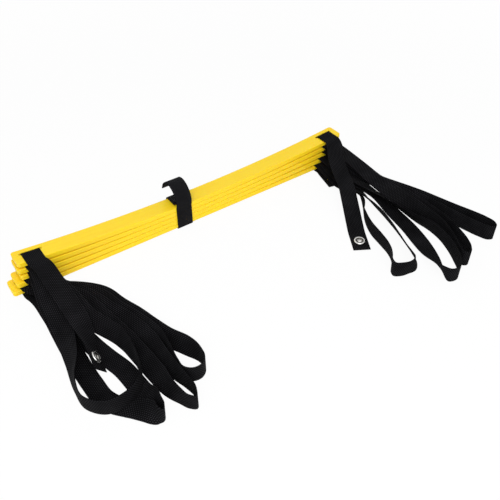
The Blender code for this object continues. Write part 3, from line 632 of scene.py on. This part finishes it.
def tongue_knots(index, side, up, points, heading):
    """Knots of a free tongue, from inside its slot to its straight end."""
    knots = slot_turn(index, side, up)
    place, wide = knots[-1]
    knots.append((place - Vector((0, CLOSE_GAP, 0)), wide))
    knots.append((place - Vector((0, CLOSE_GAP + SEAM_RUN, 0)), wide))
    free = loose_knots(points, side)
    last, wide = free[-1]
    ahead = Vector(heading).normalized()
    wide = (wide - ahead * wide.dot(ahead)).normalized()
    free[-1] = (last, wide)
    for step in range(1, TONGUE_STEPS + 1):
        free.append((last + ahead * (TONGUE_STRAIGHT * step / TONGUE_STEPS), wide))
    return knots + free


tongue_ends = {}
for word, index, side, up, points, heading in TONGUES:
    knots = tongue_knots(index, side, up, points, heading)
    tongue_ends[word] = knots[-2:]
    samples = laid_run(knots)
    tongue = woven_strip(f"{word}_tongue", samples, WEB_WIDTH, WEB_THICKNESS, webbing)
    if up > 0:
        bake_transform(tongue)
        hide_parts(f"{word}_end", f"{word}_turn")
    else:
        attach(tongue, "rails")
        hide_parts(f"{word}_end")

# Each tongue carries a pressed nickel-plated snap near its end, riveted through the webbing: the
# spring half on the top tongues, the stud half on the bottom ones, and a low domed cap behind.
# The groove round the middle of each half is painted dark, as painted shade in the recess.
SNAP_FROM_END = 14 * MM
SNAP_SEAT = 0.05 * MM
SNAP_SIDES = 56
CAP_PROFILE = [
    (0, 0), (2.6, 0.02), (4.4, 0.14), (5.6, 0.38), (6.3, 0.68), (6.5, 0.92), (6.4, 1.1), (6.0, 1.15),
    (0, 1.15),
]
SOCKET_PROFILE = [
    (0, 0), (5.9, 0), (6.35, 0.15), (6.5, 0.5), (6.5, 1.25), (6.35, 1.65), (6.0, 1.9), (5.4, 2.0),
    (4.9, 1.92), (4.7, 1.72), (4.3, 1.66), (3.7, 1.7), (3.3, 1.62), (3.1, 1.4), (3.1, 0.75), (2.9, 0.6),
    (2.35, 0.6), (2.25, 0.85), (1.9, 1.02), (1.2, 1.06), (0.9, 0.9), (0, 0.86),
]
STUD_PROFILE = [
    (0, 0), (5.1, 0), (5.45, 0.12), (5.5, 0.4), (5.35, 0.68), (5.0, 0.8), (3.5, 0.84), (3.05, 0.95),
    (2.6, 1.25), (2.5, 1.5), (2.7, 1.8), (2.65, 2.05), (2.35, 2.2), (1.5, 2.2), (1.15, 2.1), (0.95, 1.8),
    (0.85, 1.3), (0, 1.25),
]
SPRING_HALF = 2.145 * MM
SPRING_OUT = 2.15 * MM
SPRING_WIRE = 0.3 * MM
SPRING_LEVEL = 1.2 * MM
NICKEL = (0.78, 0.77, 0.745)
NICKEL_HAZE_SHARE = 0.86
# Painted shade: the colour of the groove round the middle of each half.
NICKEL_GROOVE_SHADE = (0.11, 0.105, 0.095)
CAP_HEIGHT = 1.15 * MM
GROOVE_FLOOR = 0.5 * MM
CREASE_FROM = math.radians(50)
SOCKET_GROOVE = (2.8, 4.75)
STUD_GROOVE = (2.7, 3.6)


def turned_mesh(name, profile, sides, groove=(0, 0)):
    """A closed shape turned about Z from a profile in millimetres that starts and ends on the axis.

    The painted-shade attribute is one between the two radii of the groove and nought elsewhere.
    """
    shape = bmesh.new()
    rings = []
    for radius, level in profile:
        if radius == 0:
            rings.append([shape.verts.new((0, 0, level * MM))])
            continue
        turns = [2 * math.pi * k / sides for k in range(sides)]
        r = radius * MM
        rings.append([shape.verts.new((r * math.cos(a), r * math.sin(a), level * MM)) for a in turns])
    for low, high in zip(rings, rings[1:]):
        for k in range(sides):
            corners = [low[k % len(low)], low[(k + 1) % len(low)]]
            corners += [high[(k + 1) % len(high)], high[k % len(high)]]
            shape.faces.new(list(dict.fromkeys(corners)))
    bmesh.ops.recalc_face_normals(shape, faces=shape.faces)
    mesh = bpy.data.meshes.new(name)
    shape.to_mesh(mesh)
    shape.free()
    mesh.polygons.foreach_set("use_smooth", [True] * len(mesh.polygons))
    mesh.set_sharp_from_angle(angle=CREASE_FROM)
    # Marks the groove, where shade is painted on the plating.
    groove_shade = mesh.attributes.new("groove_shade", "FLOAT", "POINT")
    for vert, value in zip(mesh.vertices, groove_shade.data):
        out = math.hypot(vert.co.x, vert.co.y) / MM
        value.value = float(groove[0] < out < groove[1] and vert.co.z > GROOVE_FLOOR)
    return mesh


def wire_mesh(name, points, radius):
    """A round wire with closed ends along a line of points."""
    line = bpy.data.curves.new(name, "CURVE")
    line.dimensions = "3D"
    line.bevel_depth = radius
    line.bevel_resolution = 3
    line.use_fill_caps = True
    spline = line.splines.new("POLY")
    spline.points.add(len(points) - 1)
    for knot, point in zip(spline.points, points):
        knot.co = (*point, 1)
    thing = bpy.data.objects.new(name, line)
    bpy.context.scene.collection.objects.link(thing)
    mesh = baked(thing)
    bpy.data.objects.remove(thing)
    return mesh


def nickel_plate():
    """Bright plated metal with hazy patches and painted shade in its groove."""
    finish, tree, shader = new_finish("nickel", NICKEL, 0.2, 1.0)
    place = tree.nodes.new("ShaderNodeTexCoord").outputs["Object"]
    haze = wire(tree, "ShaderNodeTexNoise", place)
    haze.inputs["Scale"].default_value = 500
    haze.inputs["Detail"].default_value = 6
    rough = wire(tree, "ShaderNodeMapRange", haze.outputs["Fac"], 0.3, 0.75, 0.14, 0.34)
    tree.links.new(rough.outputs[0], shader.inputs["Roughness"])
    hazy = tuple(c * NICKEL_HAZE_SHARE for c in NICKEL)
    plate = colour_mix(tree, haze.outputs["Fac"], NICKEL, hazy)
    # The marked groove takes the painted shade colour.
    groove = tree.nodes.new("ShaderNodeAttribute")
    groove.attribute_name = "groove_shade"
    tree.links.new(colour_mix(tree, groove.outputs["Fac"], plate, NICKEL_GROOVE_SHADE), shader.inputs["Base Color"])
    bump = tree.nodes.new("ShaderNodeBump")
    bump.inputs["Strength"].default_value = 0.1
    bump.inputs["Distance"].default_value = 0.0001
    tree.links.new(haze.outputs["Fac"], bump.inputs["Height"])
    tree.links.new(bump.outputs["Normal"], shader.inputs["Normal"])
    return finish


def add_snap_piece(name, mesh, frame_at, body, node):
    """Sets one piece of a snap in its place on the webbing."""
    mesh.transform(frame_at)
    mesh.materials.clear()
    piece = placed(name, mesh, nickel)
    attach(piece, body)
    if node:
        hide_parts(node)


nickel = nickel_plate()
for word, index, side, up, points, heading in TONGUES:
    (before, wide), (last, wide) = tongue_ends[word]
    ahead = (last - before).normalized()
    face = ahead.cross(wide)
    if face.z < 0:
        face = -face
    middle = last - ahead * SNAP_FROM_END + Vector((BUNDLE_SHIFT, 0, 0))
    turn = Matrix((wide, face.cross(wide), face)).transposed().to_4x4()
    seat = WEB_THICKNESS / 2 + SNAP_SEAT
    body = f"{word}_end" if up > 0 else "rails"
    cap = turned_mesh("cap", CAP_PROFILE, SNAP_SIDES)
    cap_at = Matrix.Translation(middle - face * (seat + CAP_HEIGHT)) @ turn
    add_snap_piece(f"{word}_snap_cap", cap, cap_at, body, f"{word}_end_cap")
    top_at = Matrix.Translation(middle + face * seat) @ turn
    if up > 0:
        ring = turned_mesh("ring", SOCKET_PROFILE, SNAP_SIDES, SOCKET_GROOVE)
        add_snap_piece(f"{word}_snap_socket", ring, top_at, body, f"{word}_end_socket")
        for out in (-SPRING_OUT, SPRING_OUT):
            ends = [(out, -SPRING_HALF, SPRING_LEVEL), (out, SPRING_HALF, SPRING_LEVEL)]
            spring = wire_mesh("spring", ends, SPRING_WIRE)
            which = "a" if out < 0 else "b"
            add_snap_piece(f"{word}_snap_spring_{which}", spring, top_at, body, None)
    else:
        stud = turned_mesh("stud", STUD_PROFILE, SNAP_SIDES, STUD_GROOVE)
        add_snap_piece(f"{word}_snap_stud", stud, top_at, body, f"{word}_end_stud")

# The tie strap is a thicker black woven band round the middle of the bundle. Its end laps over the
# top slat, and its free tail springs up from the front and arches over to the back.
# A pad of loop tape is sewn on top of the band and a pad of hook tape inside the tail's end.
TIE_WIDTH = 20 * MM
TIE_THICKNESS = 1.2 * MM
TIE_CORNER = 2.2 * MM
TIE_TRAVEL = 20 * MM
TIE_LAP = 5.5 * MM
TIE_SIDE = SLAT_WIDTH / 2 + CLOSE_GAP + TIE_THICKNESS / 2
TIE_OVER = 1.4 * MM
TIE_REACH = BUNDLE_SHIFT + TIE_WIDTH / 2 + TIE_TRAVEL
TIE_TOP = slat_under(SLAT_COUNT - 1, TIE_REACH) + SLAT_THICKNESS + TIE_OVER
TIE_BELOW = 1.5 * MM
TIE_END = TIE_TOP - TIE_CORNER - TIE_BELOW
TIE_CORNER_STEPS = 8
TAIL_POINTS = [
    (-1.1, 6.6), (-0.5, 12.1), (2.9, 18.6), (8.9, 23.9), (16.4, 26.1), (23.9, 24.1), (29.1, 18.6),
    (31.7, 12.1),
]
PAD_THICKNESS = 0.8 * MM
PAD_WIDTH = 17 * MM
PAD_INSET = 2.5 * MM
STITCH_INSET = 1.3 * MM
STITCH_PITCH = 2.2 * MM
STITCH_LENGTH = 1.9 * MM
STITCH_THREAD = 0.35 * MM
PILE_THREAD = 0.06 * MM
PILE_SEED = 7
HOOK_FROM_SHARE = 0.7
HOOK_TO_SHARE = 0.95
TIE_FLOAT = 1.3 * MM
TIE_COLUMN = 0.9 * MM
TIE_SHEEN = 0.02
# From this black, as painted shade between the floats, to the paler colour below, as painted highlight on
# their crowns.
TIE_BLACK = (0.001, 0.001, 0.0013)
TIE_LIT_CROWN = (0.045, 0.044, 0.05)
PILE_BLACK = (0.003, 0.003, 0.0035)
THREAD_BLACK = (0.005, 0.005, 0.006)
STRAND_PALER = 2.4


def cornered_run(corners):
    """Samples of the band's route round the bundle with its corners rounded."""
    wide = Vector((1, 0, 0))
    places = [Vector((0, y, z)) for y, z in corners]
    stops = [places[0]]
    for before, corner, after in zip(places, places[1:], places[2:]):
        inward = (before - corner).normalized()
        onward = (after - corner).normalized()
        centre = corner + (inward + onward) * TIE_CORNER
        for step in range(TIE_CORNER_STEPS + 1):
            angle = math.radians(90 * step / TIE_CORNER_STEPS)
            stops.append(centre - (onward * math.cos(angle) + inward * math.sin(angle)) * TIE_CORNER)
    stops.append(places[-1])
    return [(stop, wide) for stop in stops]


def stitch_tree():
    """Lays short thread stitches end to end along a route."""
    tree, idents, entry = tree_with(
        "stitch_row", ("Pitch", "Float"), ("Stitch", "Float"), ("Thread", "Float"), ("Finish", "Material"),
    )
    run = wire(tree, "GeometryNodeMeshToCurve", entry.outputs["Geometry"])
    spaced = wire(tree, "GeometryNodeResampleCurve", run.outputs[0])
    spaced.mode = "LENGTH"
    tree.links.new(entry.outputs["Pitch"], socket(spaced, "Length"))
    bead = wire(tree, "GeometryNodeMeshUVSphere")
    socket(bead, "Segments").default_value = 8
    socket(bead, "Rings").default_value = 5
    socket(bead, "Radius").default_value = 0.5
    tangent = tree.nodes.new("GeometryNodeInputTangent").outputs[0]
    aim = wire(tree, "FunctionNodeAlignRotationToVector", None, None, tangent)
    aim.axis = "X"
    thick = entry.outputs["Thread"]
    size = wire(tree, "ShaderNodeCombineXYZ", entry.outputs["Stitch"], thick, thick)
    dotted = wire(tree, "GeometryNodeInstanceOnPoints", spaced.outputs[0])
    tree.links.new(bead.outputs[0], socket(dotted, "Instance"))
    tree.links.new(aim.outputs[0], socket(dotted, "Rotation"))
    tree.links.new(size.outputs[0], socket(dotted, "Scale"))
    real = wire(tree, "GeometryNodeRealizeInstances", dotted.outputs[0])
    smooth = wire(tree, "GeometryNodeSetShadeSmooth", real.outputs[0])
    finish_tree(tree, entry, smooth.outputs[0])
    return tree, idents


def pile_tree():
    """Grows small arched threads out of a pad's surface at scattered places."""
    tree, idents, entry = tree_with(
        "thread_pile", ("Density", "Float"), ("Reach", "Float"), ("Height", "Float"), ("Thread", "Float"),
        ("Closed", "Float"), ("Seed", "Int"), ("Finish", "Material"),
    )
    scattered = wire(tree, "GeometryNodeDistributePointsOnFaces", entry.outputs["Geometry"])
    tree.links.new(entry.outputs["Density"], socket(scattered, "Density"))
    tree.links.new(entry.outputs["Seed"], socket(scattered, "Seed"))
    arch = tree.nodes.new("GeometryNodeCurveArc")
    socket(arch, "Resolution").default_value = 7
    socket(arch, "Radius").default_value = 1
    tree.links.new(entry.outputs["Closed"], socket(arch, "Sweep Angle"))
    ring = tree.nodes.new("GeometryNodeCurvePrimitiveCircle")
    socket(ring, "Resolution").default_value = 4
    tree.links.new(entry.outputs["Thread"], socket(ring, "Radius"))
    stand = wire(tree, "GeometryNodeTransform", arch.outputs[0])
    socket(stand, "Rotation").default_value = (math.radians(90), 0, 0)
    size = wire(tree, "ShaderNodeCombineXYZ", entry.outputs["Reach"], entry.outputs["Height"], 1.0)
    tree.links.new(size.outputs[0], socket(stand, "Scale"))
    thread = wire(tree, "GeometryNodeCurveToMesh", stand.outputs[0], ring.outputs[0])
    spin = wire(tree, "FunctionNodeRandomValue", data_type="FLOAT")
    socket(spin, "Max").default_value = 2 * math.pi
    tree.links.new(entry.outputs["Seed"], socket(spin, "Seed"))
    about = wire(tree, "ShaderNodeCombineXYZ", None, None, next(s for s in spin.outputs if s.enabled))
    turned = wire(tree, "FunctionNodeRotateRotation", scattered.outputs["Rotation"], about.outputs[0])
    turned.rotation_space = "LOCAL"
    planted = wire(tree, "GeometryNodeInstanceOnPoints", scattered.outputs["Points"])
    tree.links.new(thread.outputs[0], socket(planted, "Instance"))
    tree.links.new(turned.outputs[0], socket(planted, "Rotation"))
    finish_tree(tree, entry, planted.outputs[0])
    return tree, idents


def pad_face(name, samples, lift, width):
    """The outer face of a pad as a strip of quads, for its pile."""
    points = []
    for i, (place, wide) in enumerate(samples):
        tangent = (samples[min(i + 1, len(samples) - 1)][0] - samples[max(i - 1, 0)][0]).normalized()
        out = tangent.cross(wide) * lift
        points += [place + out + wide * (width / 2), place + out - wide * (width / 2)]
    mesh = bpy.data.meshes.new(name)
    faces = [(i, i + 1, i + 3, i + 2) for i in range(0, len(points) - 2, 2)]
    mesh.from_pydata([tuple(p) for p in points], [], faces)
    return mesh


def seam_round(samples, lift, width, inset):
    """The places of a seam round a pad, a little in from its edges."""
    near, far = [], []
    for i, (place, wide) in enumerate(samples):
        tangent = (samples[min(i + 1, len(samples) - 1)][0] - samples[max(i - 1, 0)][0]).normalized()
        out = tangent.cross(wide) * lift
        if i == 0:
            out += tangent * inset
        if i == len(samples) - 1:
            out -= tangent * inset
        near.append(place + out + wide * (width / 2 - inset))
        far.append(place + out - wide * (width / 2 - inset))
    ring = near + list(reversed(far)) + [near[0]]
    return [(p, Vector((1, 0, 0))) for p in ring]


def thread_finish(name, colour, roughness):
    """Fine black thread whose tone changes a little from strand to strand."""
    finish, tree, shader = new_finish(name, colour, roughness)
    shader.inputs["Sheen Weight"].default_value = 0.3
    place = tree.nodes.new("ShaderNodeTexCoord").outputs["Object"]
    strand = wire(tree, "ShaderNodeTexNoise", place)
    strand.inputs["Scale"].default_value = 1500
    pale = tuple(c * STRAND_PALER for c in colour)
    tree.links.new(colour_mix(tree, strand.outputs["Fac"], colour, pale), shader.inputs["Base Color"])
    return finish


tie_weave = woven_black("tie_webbing", TIE_FLOAT, TIE_COLUMN, TIE_BLACK, TIE_LIT_CROWN, TIE_SHEEN)
pile = thread_finish("hook_and_loop_pile", PILE_BLACK, 0.7)
thread = thread_finish("sewing_thread", THREAD_BLACK, 0.55)
band_corners = [
    (TIE_LAP - TIE_SIDE, TIE_TOP), (TIE_SIDE, TIE_TOP), (TIE_SIDE, TIE_THICKNESS / 2),
    (-TIE_SIDE, TIE_THICKNESS / 2), (-TIE_SIDE, TIE_END),
]
band_run = cornered_run(band_corners)
band = woven_strip("tie_strap_band", band_run, TIE_WIDTH, TIE_THICKNESS, tie_weave)
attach(band, "tie")
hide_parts("tie_band")
foot = Vector((0, -TIE_SIDE, TIE_END))
tail_knots = [(foot, Vector((1, 0, 0)))]
tail_knots += [(foot + Vector((0, y, z)) * MM, Vector((1, 0, 0))) for y, z in TAIL_POINTS]
tail_run = smooth_run(tail_knots)
tail = woven_strip("tie_strap_tail", tail_run, TIE_WIDTH, TIE_THICKNESS, tie_weave)
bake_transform(tail)
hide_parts("tie_tail")

STITCH_TREE, STITCH_INPUTS = stitch_tree()
PILE_TREE, PILE_INPUTS = pile_tree()
pad_lift = (TIE_THICKNESS + PAD_THICKNESS) / 2
loop_run = [
    (Vector((0, TIE_LAP - TIE_SIDE + PAD_INSET, TIE_TOP + pad_lift)), Vector((1, 0, 0))),
    (Vector((0, TIE_SIDE - TIE_CORNER - PAD_INSET, TIE_TOP + pad_lift)), Vector((1, 0, 0))),
]
hook_run = []
for i in range(round(len(tail_run) * HOOK_FROM_SHARE), round(len(tail_run) * HOOK_TO_SHARE)):
    place, wide = tail_run[i]
    tangent = (tail_run[i + 1][0] - tail_run[i - 1][0]).normalized()
    hook_run.append((place + tangent.cross(wide) * pad_lift, wide))
# Each row ends with the threads on a square metre, their half span, height and arc.
pads = [
    ("loop", loop_run, -1, "tie", "tie_loop_pad", 2.6e6, 0.32 * MM, 0.3 * MM, math.radians(180)),
    ("hook", hook_run, 1, "tie_tail", "tie_hook_pad", 1.5e6, 0.3 * MM, 0.45 * MM, math.radians(230)),
]
for word, run, out, body, node, density, reach, height, closed in pads:
    base = woven_strip(f"tie_{word}_tape", run, PAD_WIDTH, PAD_THICKNESS, tie_weave)
    lift = out * PAD_THICKNESS / 2
    face = pad_face("pad_face", run, lift, PAD_WIDTH - 2 * STITCH_INSET)
    if out < 0:
        face.flip_normals()
    values = {
        "Density": density, "Reach": reach, "Height": height, "Thread": PILE_THREAD, "Closed": closed,
        "Seed": PILE_SEED, "Finish": pile,
    }
    fuzz = placed(f"tie_{word}_pile", grown("pile", face, PILE_TREE, PILE_INPUTS, values))
    seam = route_mesh("seam", seam_round(run, lift, PAD_WIDTH, STITCH_INSET))
    values = {
        "Pitch": STITCH_PITCH, "Stitch": STITCH_LENGTH, "Thread": STITCH_THREAD, "Finish": thread,
    }
    stitches = placed(f"tie_{word}_stitches", grown("seam", seam, STITCH_TREE, STITCH_INPUTS, values))
    for piece in (base, fuzz, stitches):
        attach(piece, body)
    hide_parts(node)

# The floor is a plain pale studio sheet that keeps the object's soft shadow.
# The camera sees it mostly as white, and as wholly white away from the object.
FLOOR_HALF = 3
FLOOR_PALE = (0.9, 0.9, 0.9)
FLOOR_WHITE_SHARE = 0.94
FLOOR_FADE = (0.45, 1.1)


def pale_floor():
    """A matt floor that the camera sees fade to white with the distance from the object."""
    finish, tree, shader = new_finish("studio_floor", FLOOR_PALE, 0.9)
    shader.inputs["Specular IOR Level"].default_value = 0
    glow = tree.nodes.new("ShaderNodeEmission")
    path = tree.nodes.new("ShaderNodeLightPath")
    place = tree.nodes.new("ShaderNodeTexCoord").outputs["Object"]
    away = wire(tree, "ShaderNodeVectorMath", place, operation="LENGTH")
    white = wire(tree, "ShaderNodeMapRange", away.outputs["Value"], *FLOOR_FADE, FLOOR_WHITE_SHARE, 1.0)
    camera_ray = path.outputs["Is Camera Ray"]
    share = wire(tree, "ShaderNodeMath", camera_ray, white.outputs[0], operation="MULTIPLY")
    both = wire(tree, "ShaderNodeMixShader", share.outputs[0], shader.outputs[0], glow.outputs[0])
    tree.links.new(both.outputs[0], tree.nodes["Material Output"].inputs["Surface"])
    return finish


sheet = bpy.data.meshes.new("studio_floor")
corners = [(x * FLOOR_HALF, y * FLOOR_HALF, 0) for x, y in ((-1, -1), (1, -1), (1, 1), (-1, 1))]
sheet.from_pydata(corners, [], [(0, 1, 2, 3)])
floor = placed("studio_floor", sheet, pale_floor())

# The light is one large soft lamp above the front left and an even white room around it.
# The camera and mirroring surfaces see that room at full white.
ROOM_LIGHT = 0.62
LAMP_POWER = 9
LAMP_SIZE = 0.9
LAMP_AIM = Vector((0.35, 0.65, -0.82))
world = bpy.data.worlds.new("studio")
world.use_nodes = True
bpy.context.scene.world = world
tree = world.node_tree
rays = tree.nodes.new("ShaderNodeLightPath").outputs
seen = wire(tree, "ShaderNodeMath", rays["Is Camera Ray"], rays["Is Glossy Ray"], operation="MAXIMUM")
seen = wire(tree, "ShaderNodeMath", seen.outputs[0], rays["Is Transmission Ray"], operation="MAXIMUM")
strength = wire(tree, "ShaderNodeMapRange", seen.outputs[0], 0, 1, ROOM_LIGHT, 1)
tree.links.new(strength.outputs[0], tree.nodes["Background"].inputs["Strength"])
tree.nodes["Background"].inputs["Color"].default_value = (1, 1, 1, 1)
lamp = bpy.data.lights.new("soft_lamp", "AREA")
lamp.energy = LAMP_POWER
lamp.size = LAMP_SIZE
soft = bpy.data.objects.new("soft_lamp", lamp)
soft.location = (-0.35, -0.75, 0.85)
soft.rotation_euler = LAMP_AIM.to_track_quat("-Z", "Y").to_euler()
bpy.context.scene.collection.objects.link(soft)

bpy.context.scene.view_settings.view_transform = "Standard"
